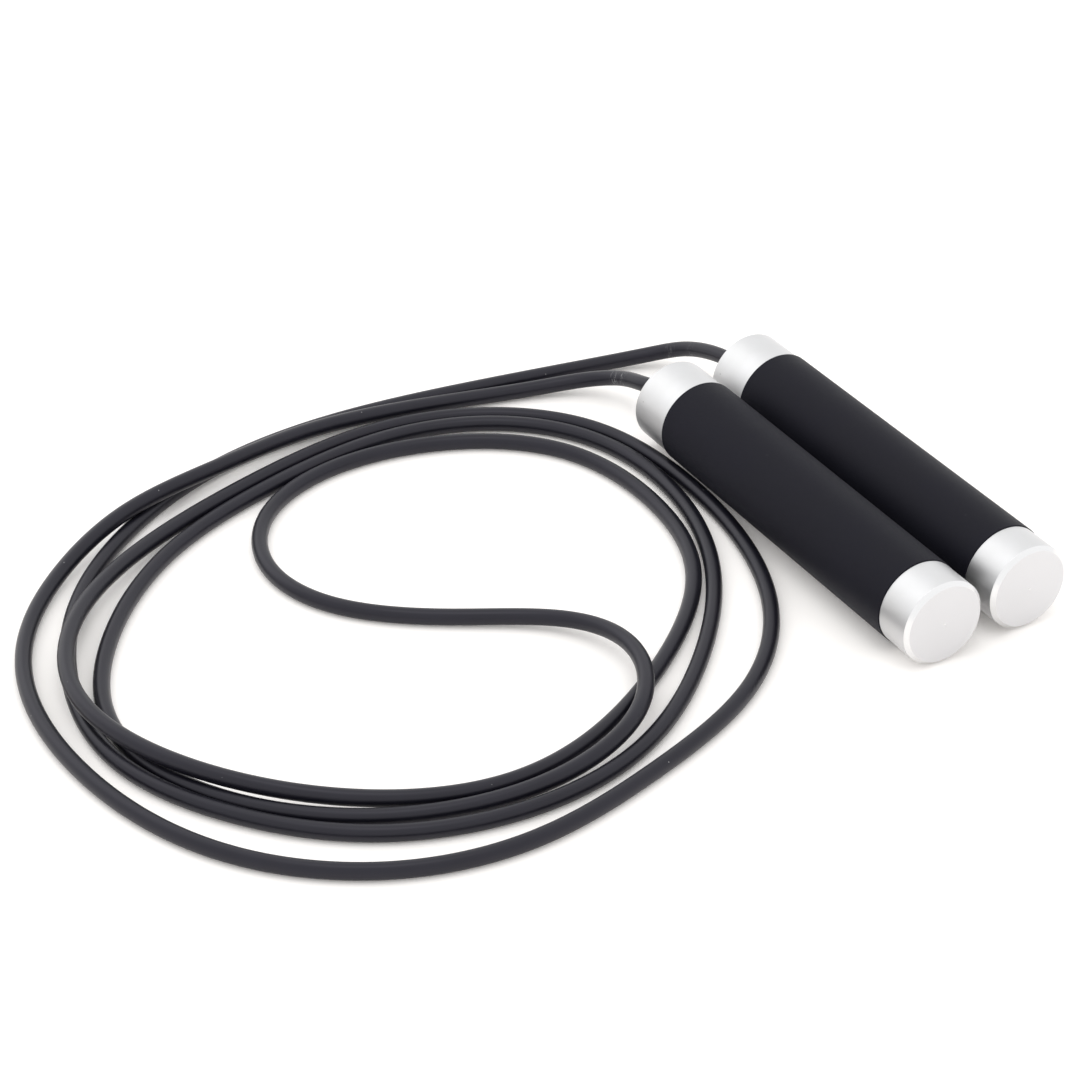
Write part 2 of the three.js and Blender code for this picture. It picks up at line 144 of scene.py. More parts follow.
class Shader:
    """A small helper to write a material's nodes as calls."""

    def __init__(self, name):
        self.material = bpy.data.materials.new(name)
        self.material.use_nodes = True
        self.tree = self.material.node_tree
        self.surface = self.tree.nodes["Principled BSDF"]

    def node(self, kind, **values):
        made = self.tree.nodes.new(kind)
        for name, value in values.items():
            setattr(made, name, value)
        return made

    def plug(self, value, socket):
        """Links an output to a socket, or sets the socket to a plain value."""
        if isinstance(value, bpy.types.NodeSocket):
            self.tree.links.new(value, socket)
        else:
            socket.default_value = value

    def place(self):
        """Where a point is on the piece, in metres along the piece's own axes."""
        return self.node("ShaderNodeTexCoord").outputs["Object"]

    def stretched(self, vector, scale):
        made = self.node("ShaderNodeMapping")
        self.plug(vector, made.inputs["Vector"])
        made.inputs["Scale"].default_value = scale
        return made.outputs["Vector"]

    def noise(self, vector, scale, detail=2.0, rough=0.5):
        made = self.node("ShaderNodeTexNoise")
        self.plug(vector, made.inputs["Vector"])
        made.inputs["Scale"].default_value = scale
        made.inputs["Detail"].default_value = detail
        made.inputs["Roughness"].default_value = rough
        return made.outputs["Fac"]

    def cells(self, vector, scale):
        """The distance to the nearest of many scattered points, in cells."""
        made = self.node("ShaderNodeTexVoronoi")
        self.plug(vector, made.inputs["Vector"])
        made.inputs["Scale"].default_value = scale
        return made.outputs["Distance"]

    def rings(self, vector, scale, distortion=0.0):
        """Waves that spread out round the X axis."""
        made = self.node("ShaderNodeTexWave", wave_type="RINGS", rings_direction="X")
        self.plug(vector, made.inputs["Vector"])
        made.inputs["Scale"].default_value = scale
        made.inputs["Distortion"].default_value = distortion
        made.inputs["Detail"].default_value = 3
        made.inputs["Detail Scale"].default_value = 2
        return made.outputs["Fac"]

    def span(self, value, low, high, to_low=0.0, to_high=1.0):
        """Carries the range low to high over to the range to_low to to_high, and holds it there."""
        made = self.node("ShaderNodeMapRange")
        self.plug(value, made.inputs["Value"])
        made.inputs["From Min"].default_value = low
        made.inputs["From Max"].default_value = high
        made.inputs["To Min"].default_value = to_low
        made.inputs["To Max"].default_value = to_high
        return made.outputs["Result"]

    def spots(self, vector, scale, edge, core, strength):
        """Small scattered spots, full inside the core and fading out at the edge, in cells."""
        spot = self.span(self.cells(vector, scale), edge, core)
        return self.times(spot, strength)

    def calculated(self, operation, first, second=0.0):
        made = self.node("ShaderNodeMath", operation=operation)
        self.plug(first, made.inputs[0])
        self.plug(second, made.inputs[1])
        return made.outputs["Value"]

    def plus(self, first, second):
        return self.calculated("ADD", first, second)

    def minus(self, first, second):
        return self.calculated("SUBTRACT", first, second)

    def times(self, first, second):
        return self.calculated("MULTIPLY", first, second)

    def without_sign(self, value):
        return self.calculated("ABSOLUTE", value)

    def mix(self, factor, first, second):
        made = self.node("ShaderNodeMix", data_type="RGBA")
        self.plug(factor, made.inputs["Factor"])
        self.plug(first, made.inputs[MIX_FIRST])
        self.plug(second, made.inputs[MIX_SECOND])
        return made.outputs[MIXED]

    def bump(self, height, depth):
        """Raises the surface by height times depth, in metres."""
        made = self.node("ShaderNodeBump")
        self.plug(height, made.inputs["Height"])
        made.inputs["Distance"].default_value = depth
        self.plug(made.outputs["Normal"], self.surface.inputs["Normal"])

    def finish(self, color, roughness, **even):
        """Sets the surface. The even values are the same all over it."""
        self.plug(color, self.surface.inputs["Base Color"])
        self.plug(roughness, self.surface.inputs["Roughness"])
        for name, value in even.items():
            self.surface.inputs[name.replace("_", " ")].default_value = value
        return self.material


def grey(value, blue=0.0):
    """A grey, bluer by the given share."""
    return (value, value * (1 - blue * 0.05), value * (1 + blue), 1)


def soft_touch():
    """Matte rubbery paint: a very fine grain, faint rubbed patches and a few specks of dust."""
    shader = Shader("soft_touch")
    place = shader.place()
    grain = shader.noise(place, 5200, 3, 0.65)
    patches = shader.noise(place, 55, 3)
    speck = shader.spots(place, 170, 0.022, 0.012, 0.45)
    body = shader.mix(shader.span(patches, *NOISE_RANGE), grey(0.0040, 0.9), grey(0.0056, 0.8))
    color = shader.mix(speck, body, grey(0.25))
    roughness = shader.span(patches, 0.25, 0.75, 0.56, 0.64)
    shader.bump(grain, 0.00006)
    return shader.finish(
        color,
        roughness,
        Specular_IOR_Level=0.14,
        Specular_Tint=(0.93, 0.93, 1, 1),
        Sheen_Weight=0.015,
        Sheen_Roughness=0.5,
        Sheen_Tint=(0.9, 0.92, 1, 1),
    )


def blasted_aluminium():
    """Fine bead-blasted and clear anodised, with small uneven patches and a few dark pits."""
    shader = Shader("blasted_aluminium")
    place = shader.place()
    grain = shader.noise(place, 3600, 4, 0.7)
    patches = shader.noise(place, 140, 3)
    pit = shader.spots(place, 70, 0.022, 0.012, 0.5)
    body = shader.mix(shader.span(patches, *NOISE_RANGE), grey(0.635), grey(0.655, 0.01))
    color = shader.mix(pit, body, grey(0.25))
    roughness = shader.span(grain, *NOISE_RANGE, 0.44, 0.52)
    shader.bump(grain, 0.00001)
    return shader.finish(color, roughness, Metallic=1)


def faced_aluminium():
    """A turned end face: faint rings from the lathe under the anodising."""
    shader = Shader("faced_aluminium")
    place = shader.place()
    lathe = shader.rings(place, 900, 0.4)
    grain = shader.noise(place, 3600, 3, 0.7)
    pit = shader.spots(place, 130, 0.03, 0.015, 0.35)
    color = shader.mix(pit, grey(0.66, 0.02), grey(0.25))
    roughness = shader.span(lathe, 0, 1, 0.36, 0.42)
    shader.bump(shader.plus(grain, shader.times(lathe, 0.3)), 0.000005)
    return shader.finish(color, roughness, Metallic=1)


def cut_aluminium():
    """The bright edge that is cut after anodising."""
    shader = Shader("cut_aluminium")
    place = shader.place()
    lathe = shader.rings(place, 2600, 0.3)
    roughness = shader.span(lathe, 0, 1, 0.2, 0.27)
    shader.bump(lathe, 0.000002)
    color = shader.mix(lathe, grey(0.73), grey(0.76, 0.01))
    return shader.finish(color, roughness, Metallic=1)


def vinyl_cord():
    """Satin extruded vinyl: long faint streaks from the die, specks of dust and a few rubbed marks."""
    shader = Shader("vinyl_cord")
    along_and_round = shader.node("ShaderNodeUVMap", uv_map="along").outputs["UV"]
    place = shader.place()
    streaks = shader.noise(shader.stretched(along_and_round, (12, 9, 1)), 1, 3, 0.6)
    grain = shader.noise(place, 2600, 3, 0.6)
    patches = shader.noise(place, 60, 2)
    speck = shader.spots(place, 120, 0.03, 0.02, 0.5)
    body = shader.mix(shader.span(patches, *NOISE_RANGE), grey(0.004, 0.8), grey(0.006, 0.7))
    dusty = shader.mix(speck, body, grey(0.35))
    color = shader.mix(rubbed(shader, along_and_round), dusty, grey(0.32))
    roughness = shader.plus(
        shader.span(streaks, *NOISE_RANGE, 0.34, 0.4),
        shader.span(patches, *NOISE_RANGE, -0.02, 0.03),
    )
    height = shader.plus(shader.times(streaks, 0.8), shader.times(grain, 0.4))
    shader.bump(height, 0.00003)
    return shader.finish(
        color, roughness, Specular_IOR_Level=0.4, Specular_Tint=(0.92, 0.9, 1, 1)
    )


# Where the cord is rubbed pale, and how strongly, in metres along it: the bend in front of each
# handle. The lengths were worked out by a program from four marks in the photo.
RUBBED_AT = {0.0440: 0.8, 0.0486: 1.0, 2.972: 0.35, 2.9824: 0.35}
RUBBED_REACH = 0.0025


def rubbed(shader, along_and_round):
    """How strongly each point is rubbed: short scratches, near a few places along the cord only."""
    parts = shader.node("ShaderNodeSeparateXYZ")
    shader.plug(along_and_round, parts.inputs["Vector"])
    scratches = shader.noise(shader.stretched(along_and_round, (2600, 5, 1)), 1, 4, 0.7)
    lines = shader.span(scratches, 0.54, 0.64)
    total = 0.0
    for at, strength in RUBBED_AT.items():
        away = shader.without_sign(shader.minus(parts.outputs["X"], at))
        total = shader.plus(total, shader.span(away, RUBBED_REACH, 0, 0, strength))
    return shader.times(lines, total)


def moulded_plastic():
    """Plain black moulding with a faint orange-peel surface."""
    shader = Shader("moulded_plastic")
    place = shader.place()
    peel = shader.noise(place, 900, 2)
    color = shader.mix(peel, grey(0.02, 0.1), grey(0.028, 0.1))
    shader.bump(peel, 0.00002)
    return shader.finish(color, shader.span(peel, *NOISE_RANGE, 0.4, 0.5))


def turned_metal(name, color, rough, scale=1800):
    """Metal fresh from the lathe: fine rings round the axis."""
    shader = Shader(name)
    place = shader.place()
    lathe = shader.rings(place, scale, 0.2)
    stretched = shader.noise(shader.stretched(place, (6000, 60, 60)), 1, 3)
    darker = tuple(0.86 * part for part in color[:3]) + (1,)
    marks = shader.plus(shader.times(lathe, 0.5), shader.times(stretched, 0.5))
    shader.bump(marks, 0.000004)
    return shader.finish(
        shader.mix(marks, darker, color),
        shader.span(marks, 0.2, 0.8, rough - 0.05, rough + 0.08),
        Metallic=1,
    )


def foam():
    """Closed-cell foam: small round cells in a grey skin."""
    shader = Shader("foam")
    place = shader.place()
    cell = shader.cells(place, 1700)
    color = shader.mix(cell, grey(0.045, 0.05), grey(0.12, 0.05))
    shader.bump(cell, 0.0001)
    return shader.finish(color, 0.9)


def seal_rubber():
    """Moulded nitrile: nearly black, with a faint bloom."""
    shader = Shader("seal_rubber")
    place = shader.place()
    bloom = shader.noise(place, 400, 3)
    color = shader.mix(bloom, grey(0.010), grey(0.018))
    shader.bump(shader.noise(place, 4000), 0.00001)
    return shader.finish(color, shader.span(bloom, *NOISE_RANGE, 0.45, 0.6))


MATERIALS = {
    "soft_touch": soft_touch(),
    "blasted": blasted_aluminium(),
    "faced": faced_aluminium(),
    "cut": cut_aluminium(),
    "vinyl": vinyl_cord(),
    "plastic": moulded_plastic(),
    "steel": turned_metal("ground_steel", (0.62, 0.63, 0.65, 1), 0.2),
    "spring": turned_metal("spring_steel", (0.12, 0.12, 0.125, 1), 0.45),
    "weight": turned_metal("weight_steel", (0.5, 0.51, 0.53, 1), 0.33, 1100),
    "brass": turned_metal("brass", (0.72, 0.55, 0.27, 1), 0.28),
    "foam": foam(),
    "seal": seal_rubber(),
}

# ---- pieces ----


def add_piece(name, mesh, place, materials):
    """Makes an object of a bmesh, at its place, with its materials."""
    bmesh.ops.recalc_face_normals(mesh, faces=mesh.faces)
    data = bpy.data.meshes.new(name)
    mesh.to_mesh(data)
    mesh.free()
    for material in materials:
        data.materials.append(MATERIALS[material])
    piece = bpy.data.objects.new(name, data)
    bpy.context.scene.collection.objects.link(piece)
    piece.matrix_world = place
    return piece


def join_sections(mesh, sections):
    """Joins each section to the next by a band of faces all the way round them."""
    for first, second in zip(sections, sections[1:]):
        for k in range(len(first)):
            after = (k + 1) % len(first)
            mesh.faces.new((first[k], first[after], second[after], second[k]))


# ---- the cord ----

# The cord's route from handle a to handle b, in millimetres: [x, y, how many cord diameters it is
# raised off the floor], as in the CAD model. x and y weren't chosen by hand: a program fitted them to
# the photo, and they were rounded. A few were then moved, and the heights were set one by one.
LOOPS = [
    # down from handle a and once round the outside
    [-94, -18, 2], [-106, -17, 1.3], [-119, -25, 0.4], [-126, -46, 0], [-135, -80, 0.1],
    [-139, -123, 0.6], [-127, -163, 1.2], [-122, -201, 1.1], [-105, -234, 0.1], [-74, -262, 0],
    [-32, -274, 0], [19, -270, 0], [60, -251, 0], [88, -215, 0], [96, -171, 0],
    [83, -124, 0], [67, -79, 0], [35, -47, 0], [-9, -31, 0], [-58, -28, 0],
    # the second turn
    [-97, -36, 0], [-123, -66, 0], [-133, -106, 0], [-122, -155, 0.1], [-103, -208, 0.3],
    [-70, -248, 1.1], [-28, -265, 1.3], [16, -251, 1.2], [50, -216, 0.4], [69, -172, 0],
    [62, -131, 0], [35, -88, 0], [0, -52, 0], [-45, -43, 0], [-88, -50, 0], [-113, -84, 0],
    # back through the middle and over the second turn
    [-119.5, -126, 0], [-105, -161, 0], [-74, -177, 0], [-42, -169, 0], [-18, -139, 0],
    [0, -105, 0.2], [31, -96, 1.1], [65, -114, 1], [77, -158, 0.1], [63, -211, 0],
    # the third turn
    [25, -249, 0], [-22, -259, 0], [-65, -236, 0], [-101, -198, 0], [-118, -149, 0],
    [-127, -100, 0], [-114, -61, 0], [-85, -37, 0], [-41, -34, 0], [4, -49, 0],
    # the fourth turn, under the first one and up to handle b
    [44, -82, 0], [74, -120, 0], [83, -165, 0], [71, -211, 0], [39, -244, 0], [-2, -264, 0],
    [-46, -258, 0], [-88, -237, 0], [-119, -202, 0], [-140, -158, 0], [-144, -110, 0],
    [-137, -61, 0], [-129, -19, 0], [-123, 4, 0.2], [-115, 13, 1], [-101, 15, 1.9],
]

# Where the cord runs straight in and out of each handle, in front of the cap's outer face.
STRAIGHT_RUN = [-CORD_END_DEPTH, -12, -5, 2, 9]

FINE_STEPS = 40  # for each control point, to measure along the curve


def cord_controls():
    """The points that pull the cord's smooth curve towards them, in metres."""
    start = [HANDLES["a"] @ Vector((-distance * MM, 0, 0)) for distance in STRAIGHT_RUN]
    end = [HANDLES["b"] @ Vector((-distance * MM, 0, 0)) for distance in STRAIGHT_RUN]
    middle = [
        Vector((x, y, CORD_RADIUS + raised * CORD_DIAMETER)) * MM for x, y, raised in LOOPS
    ]
    return start + middle + end[::-1]


def spline_point(controls, at):
    """A point on the clamped cubic B-spline of the controls, at 0 to 1 along its parameter."""
    degree = 3
    spans = len(controls) - degree
    at = min(max(at, 0), 1) * spans
    span = min(int(at), spans - 1)
    knots = [min(max(i - degree, 0), spans) for i in range(len(controls) + degree + 1)]
    nearby = [controls[span + i].copy() for i in range(degree + 1)]
    for level in range(1, degree + 1):
        for i in range(degree, level - 1, -1):
            low = knots[span + i]
            high = knots[span + i + 1 + degree - level]
            share = (at - low) / (high - low)
            nearby[i] = nearby[i - 1].lerp(nearby[i], share)
    return nearby[degree]


def even_points(controls, step):
    """Points about one step apart along the whole curve, and the curve's length."""
    fine_count = FINE_STEPS * len(controls)
    fine = [spline_point(controls, i / fine_count) for i in range(fine_count + 1)]
    travelled = [0]
    for before, after in zip(fine, fine[1:]):
        travelled.append(travelled[-1] + (after - before).length)
    count = round(travelled[-1] / step)
    points = []
    i = 0
    for k in range(count + 1):
        goal = travelled[-1] * k / count
        while i < fine_count - 1 and travelled[i + 1] < goal:
            i += 1
        share = (goal - travelled[i]) / (travelled[i + 1] - travelled[i])
        points.append(fine[i].lerp(fine[i + 1], share))
    return points, travelled[-1]


def along_path(points, radius, sides, name):
    """A closed tube along the points, which doesn't twist. Its UVs are metres along it, and turns."""
    mesh = bmesh.new()
    uv = mesh.loops.layers.uv.new("along")
    side = Vector((0, 0, 1))
    angles = [2 * math.pi * k / sides for k in range(sides)]
    rings = []
    travelled = [0]
    for i, point in enumerate(points):
        ahead = points[min(i + 1, len(points) - 1)]
        behind = points[max(i - 1, 0)]
        direction = (ahead - behind).normalized()
        side = (side - direction * side.dot(direction)).normalized()
        across = direction.cross(side)
        rings.append([
            mesh.verts.new(point + (side * math.cos(a) + across * math.sin(a)) * radius)
            for a in angles
        ])
        if i:
            travelled.append(travelled[-1] + (point - points[i - 1]).length)
    for i, (first, second) in enumerate(zip(rings, rings[1:])):
        for k in range(sides):
            after = (k + 1) % sides
            face = mesh.faces.new((first[k], first[after], second[after], second[k]))
            face.smooth = True
            corners = ((i, k), (i, k + 1), (i + 1, k + 1), (i + 1, k))
            for loop, (ring, turn) in zip(face.loops, corners):
                loop[uv].uv = (travelled[ring], turn / sides)
    mesh.faces.new(rings[0][::-1])
    mesh.faces.new(rings[-1])
    return add_piece(name, mesh, Matrix.Identity(4), ["vinyl"])


def add_cord():
    points, length = even_points(cord_controls(), CORD_RING_STEP * MM)
    cord = along_path(points, CORD_RADIUS * MM, CORD_SIDES, "jump_cord")
    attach(cord, "rope")
    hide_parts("cord")


add_cord()

# ---- turned pieces ----

ON_AXIS = 1e-6  # a point of a profile nearer to the axis than this is on it
SAME_RADIUS = 1e-4
FLAT_SHARE = 0.6  # the flat beside a rounded corner, in roundings


def rounded(profile, steps=5):
    """Rounds each corner [along, radius, rounding] of an outline, with a short flat each side of it."""
    points = []
    count = len(profile)
    for i, corner in enumerate(profile):
        here = Vector(corner[:2])
        rounding = corner[2] if len(corner) > 2 else 0
        if not rounding:
            points.append(here)
            continue
        before = Vector(profile[i - 1][:2])
        after = Vector(profile[(i + 1) % count][:2])
        back = (before - here).normalized()
        on = (after - here).normalized()
        turn = math.acos(max(-1, min(1, back.dot(on))))
        reach = rounding / math.tan(turn / 2)
        centre = here + (back + on).normalized() * rounding / math.sin(turn / 2)
        start = here + back * reach
        end = here + on * reach
        points.append(here + back * (reach + rounding * FLAT_SHARE))
        for k in range(steps + 1):
            spoke = (start - centre).slerp(end - centre, k / steps)
            points.append(centre + spoke.normalized() * rounding)
        points.append(here + on * (reach + rounding * FLAT_SHARE))
    return points


def threaded(points, front, rear, radius):
    """Adds rows close together for a screw thread, on the stretch at that radius, front to rear."""
    rows_per_turn = 8
    made = []
    for first, second in zip(points, points[1:]):
        made.append((first, 0))
        outside = max(abs(first.y - radius), abs(second.y - radius)) < SAME_RADIUS
        if outside and min(first.x, second.x) < front and max(first.x, second.x) > rear:
            count = round((rear - front) / THREAD_PITCH * rows_per_turn)
            rows = [front + (rear - front) * k / count for k in range(count + 1)]
            if first.x > second.x:
                rows.reverse()
            for row in rows:
                fade = min(1, min(row - front, rear - row) / THREAD_PITCH)
                made.append((Vector((row, first.y)), THREAD_DEPTH * max(0, fade)))
    made.append((points[-1], 0))
    return made


def turned(name, profile, place, materials, thread=None, closed=False, steps=ROUND_STEPS):
    """A solid turned about the handle's axis. The profile is in millimetres from the front cap's face.

    A solid profile starts and ends on the axis. A closed one goes round the section of a ring.
    """
    points = rounded(profile)
    if closed:
        points = points + [points[0]]
    rows = threaded(points, *thread) if thread else [(point, 0) for point in points]
    mesh = bmesh.new()
    rings = []
    for point, depth in rows:
        if point.y < ON_AXIS:
            rings.append([mesh.verts.new((point.x * MM, 0, 0))])
            continue
        ring = []
        for k in range(steps):
            share = k / steps
            wave = abs(((point.x / THREAD_PITCH - share) % 1) * 2 - 1)
            radius = (point.y - depth * wave) * MM
            angle = 2 * math.pi * share
            ring.append(mesh.verts.new(
                (point.x * MM, radius * math.cos(angle), radius * math.sin(angle))
            ))
        rings.append(ring)
    if closed:
        for vert in rings.pop():
            mesh.verts.remove(vert)
        rings.append(rings[0])
    for first, second in zip(rings, rings[1:]):
        for k in range(steps):
            after = (k + 1) % steps
            corners = [first[k % len(first)], first[after % len(first)]]
            corners += [second[after % len(second)], second[k % len(second)]]
            kept = list(dict.fromkeys(corners))
            if len(kept) > 2:
                mesh.faces.new(kept).smooth = True
    return add_piece(name, mesh, place, materials)


CAP_FINISHES = ["blasted", "faced", "cut"]
SQUARE_ON = 0.98  # the normal of a face that is square to the axis points at least this much along it


def give_finish(piece, finish, chosen):
    """Gives a finish to a cap's faces, chosen by their centre and normal on the handle's axes."""
    index = CAP_FINISHES.index(finish)
    for face in piece.data.polygons:
        if chosen(face.center / MM, face.normal):
            face.material_index = index


SLEEVE_EDGE = 0.22
FINE_EDGE = 0.12


def grip_sleeve(name, place):
    bore = SLEEVE_RADIUS - SLEEVE_WALL
    return turned(name, [
        (SLEEVE_FRONT, bore, FINE_EDGE),
        (SLEEVE_REAR, bore, FINE_EDGE),
        (SLEEVE_REAR, SLEEVE_RADIUS, SLEEVE_EDGE),
        (SLEEVE_FRONT, SLEEVE_RADIUS, SLEEVE_EDGE),
    ], place, ["soft_touch"], closed=True)


def front_cap(name, place):
    hole = 4.3
    seat = 8
    seat_front = 3
    circlip_groove = 8.9
    groove_front = 8.3
    groove_rear = 9.8
    spigot_end = FRONT_CAP_LENGTH + FRONT_SPIGOT_LENGTH
    shoulder = FRONT_CAP_LENGTH - SEAM
    piece = turned(name, [
        (0, hole, 0.35),
        (seat_front, hole, FINE_EDGE),
        (seat_front, seat),
        (groove_front, seat),
        (groove_front, circlip_groove),
        (groove_rear, circlip_groove),
        (groove_rear, seat),
        (spigot_end, seat, FINE_EDGE),
        (spigot_end, SPIGOT_RADIUS, 0.3),
        (shoulder, SPIGOT_RADIUS),
        (shoulder, FRONT_CAP_RADIUS, 0.2),
        (0, FRONT_CAP_RADIUS, 0.7),
    ], place, CAP_FINISHES,
        thread=(shoulder + THREAD_MARGIN, spigot_end - THREAD_MARGIN, SPIGOT_RADIUS), closed=True)
    give_finish(piece, "faced", lambda at, facing: facing.x < -SQUARE_ON and at.x < 0.1)
    give_finish(piece, "cut", lambda at, facing: facing.x > 0.2 and at.x > shoulder - 0.25)
    return piece


O_RING_INSET = 2.5
O_RING_AT = FRONT_CAP_LENGTH + SLEEVE_LENGTH + GAP / 2 - O_RING_INSET
O_RING_THICKNESS = 1.3
O_RING_GROOVE_RADIUS = 9.3


def rear_cap(name, place):
    front = FRONT_CAP_LENGTH + SLEEVE_LENGTH + SEAM
    spigot_end = front - REAR_SPIGOT_LENGTH
    hollow = 7
    hollow_rear = front + 5
    hollow_tip = front + 7
    groove_front = O_RING_AT - O_RING_THICKNESS / 2 - CLOSE
    groove_rear = O_RING_AT + O_RING_THICKNESS / 2 + CLOSE
    dimple = 0.28
    dimple_depth = 0.15
    piece = turned(name, [
        (hollow_tip, 0),
        (hollow_rear, hollow, 0.3),
        (spigot_end, hollow, 0.2),
        (spigot_end, SPIGOT_RADIUS, 0.4),
        (groove_front, SPIGOT_RADIUS, FINE_EDGE),
        (groove_front, O_RING_GROOVE_RADIUS, FINE_EDGE),
        (groove_rear, O_RING_GROOVE_RADIUS, FINE_EDGE),
        (groove_rear, SPIGOT_RADIUS, FINE_EDGE),
        (front, SPIGOT_RADIUS, FINE_EDGE),
        (front, REAR_CAP_RADIUS, 0.15),
        (HANDLE_LENGTH - REAR_CHAMFER, REAR_CAP_RADIUS, 0.15),
        (HANDLE_LENGTH, REAR_CAP_RADIUS - REAR_CHAMFER, 0.12),
        (HANDLE_LENGTH, dimple, 0.04),
        (HANDLE_LENGTH - dimple_depth, 0),
    ], place, CAP_FINISHES,
        thread=(spigot_end + THREAD_MARGIN, groove_front - THREAD_MARGIN, SPIGOT_RADIUS))
    give_finish(piece, "faced", lambda at, facing: facing.x > SQUARE_ON and at.x > HANDLE_LENGTH - 0.1)
    give_finish(piece, "cut", lambda at, facing: 0.3 < facing.x < SQUARE_ON and at.x > front + 2)
    return piece


def core_tube(name, place):
    return turned(name, [
        (SLEEVE_FRONT + GAP, TUBE_BORE, 0.3),
        (SLEEVE_REAR - GAP, TUBE_BORE, 0.3),
        (SLEEVE_REAR - GAP, TUBE_RADIUS, 0.3),
        (SLEEVE_FRONT + GAP, TUBE_RADIUS, 0.3),
    ], place, ["plastic"], closed=True)


def o_ring(name, place):
    half = O_RING_THICKNESS / 2
    play = 0.05
    middle = O_RING_GROOVE_RADIUS + half + play
    sides = 20
    section = [
        (
            O_RING_AT + half * math.sin(2 * math.pi * k / sides),
            middle - half * math.cos(2 * math.pi * k / sides),
        )
        for k in range(sides)
    ]
    return turned(name, section, place, ["seal"], closed=True)


# ---- inside the front cap ----

BEARING_FRONT = 3.3
BEARING_WIDTH = 5
BEARING_REAR = BEARING_FRONT + BEARING_WIDTH
BEARING_MIDDLE = (BEARING_FRONT + BEARING_REAR) / 2
BEARING_BORE = 4
BEARING_OUTER = 7.98
INNER_LAND = 5.15
OUTER_LAND = 6.75
PITCH_RADIUS = (INNER_LAND + OUTER_LAND) / 2
BALL_RADIUS = 0.9
BALL_COUNT = 9
GROOVE_RADIUS = 0.97
RACE_EDGE = 0.25
FRONT_SHIELD_AT = BEARING_FRONT + 0.2
REAR_SHIELD_AT = BEARING_REAR - 0.6

CIRCLIP_THICKNESS = 0.9
CIRCLIP_FRONT = BEARING_REAR + GAP
CIRCLIP_REAR = CIRCLIP_FRONT + CIRCLIP_THICKNESS
CIRCLIP_OUTER = 8.6

SPINDLE_RADIUS = 3.9
CORD_HOLE = CORD_RADIUS + 0.05
FLANGE_RADIUS = 5.4
FLANGE_THICKNESS = 1.2
FLANGE_REAR = CIRCLIP_FRONT + FLANGE_THICKNESS
WASHER_RADIUS = 5.2
WASHER_THICKNESS = 0.6
WASHER_FRONT = FLANGE_REAR + CLOSE
WASHER_REAR = FLANGE_REAR + GAP + WASHER_THICKNESS
STOP_LENGTH = 8
STOP_FRONT = WASHER_REAR + CLOSE
STOP_REAR = WASHER_REAR + GAP + STOP_LENGTH


def groove(land, outward):
    """The round groove of a race, front to rear. outward is 1 in the outer race and -1 in the inner."""
    half = math.acos(abs(land - PITCH_RADIUS) / GROOVE_RADIUS)
    steps = 10
    arc = []
    for k in range(steps + 1):
        angle = half * (2 * k / steps - 1)
        along = BEARING_MIDDLE + GROOVE_RADIUS * math.sin(angle)
        arc.append((along, PITCH_RADIUS + outward * GROOVE_RADIUS * math.cos(angle)))
    return arc


def outer_race(name, place):
    return turned(name, [
        (BEARING_FRONT, OUTER_LAND, RACE_EDGE / 2),
        *groove(OUTER_LAND, 1),
        (BEARING_REAR, OUTER_LAND, RACE_EDGE / 2),
        (BEARING_REAR, BEARING_OUTER, RACE_EDGE),
        (BEARING_FRONT, BEARING_OUTER, RACE_EDGE),
    ], place, ["steel"], closed=True)


def inner_race(name, place):
    return turned(name, [
        (BEARING_FRONT, BEARING_BORE, RACE_EDGE),
        (BEARING_REAR, BEARING_BORE, RACE_EDGE),
        (BEARING_REAR, INNER_LAND, RACE_EDGE / 2),
        *groove(INNER_LAND, -1)[::-1],
        (BEARING_FRONT, INNER_LAND, RACE_EDGE / 2),
    ], place, ["steel"], closed=True)


def ball_cage(name, place):
    """Nine balls, and a pressed ring that is wide round each ball and narrow between them."""
    mesh = bmesh.new()
    for k in range(BALL_COUNT):
        angle = 2 * math.pi * k / BALL_COUNT
        at = Vector((BEARING_MIDDLE, PITCH_RADIUS * math.cos(angle), PITCH_RADIUS * math.sin(angle)))
        bmesh.ops.create_uvsphere(
            mesh,
            u_segments=24,
            v_segments=16,
            radius=BALL_RADIUS * MM,
            matrix=Matrix.Translation(at * MM),
        )
    half_depth = 0.3
    narrow = 0.4
    widening = 0.75
    sections = []
    for k in range(ROUND_STEPS):
        angle = 2 * math.pi * k / ROUND_STEPS
        half_width = narrow + widening * max(0, math.cos(BALL_COUNT * angle)) ** 0.5
        sections.append([
            mesh.verts.new(Vector((
                BEARING_MIDDLE + sign * half_width,
                radius * math.cos(angle),
                radius * math.sin(angle),
            )) * MM)
            for sign, radius in (
                (-1, PITCH_RADIUS - half_depth),
                (1, PITCH_RADIUS - half_depth),
                (1, PITCH_RADIUS + half_depth),
                (-1, PITCH_RADIUS + half_depth),
            )
        ])
    join_sections(mesh, sections + sections[:1])
    largest_on_a_ball = 0.06 * MM * MM
    for face in mesh.faces:
        face.smooth = len(face.verts) == 3 or face.calc_area() < largest_on_a_ball
    return add_piece(name, mesh, place, ["steel"])


def shield(front):
    """A pressed ring beside the balls, with a shallow step."""

    def build(name, place):
        thickness = 0.2
        step = 0.15
        inner_play = 0.12
        outer_play = 0.02
        middle = PITCH_RADIUS
        low = INNER_LAND + inner_play
        high = OUTER_LAND - outer_play
        return turned(name, [
            (front, low, 0.05),
            (front + thickness, low, 0.05),
            (front + thickness, middle - step),
            (front + thickness + step, middle),
            (front + thickness + step, high, 0.05),
            (front + step, high, 0.05),
            (front + step, middle),
            (front, middle - step),
        ], place, ["steel"], closed=True)

    return build


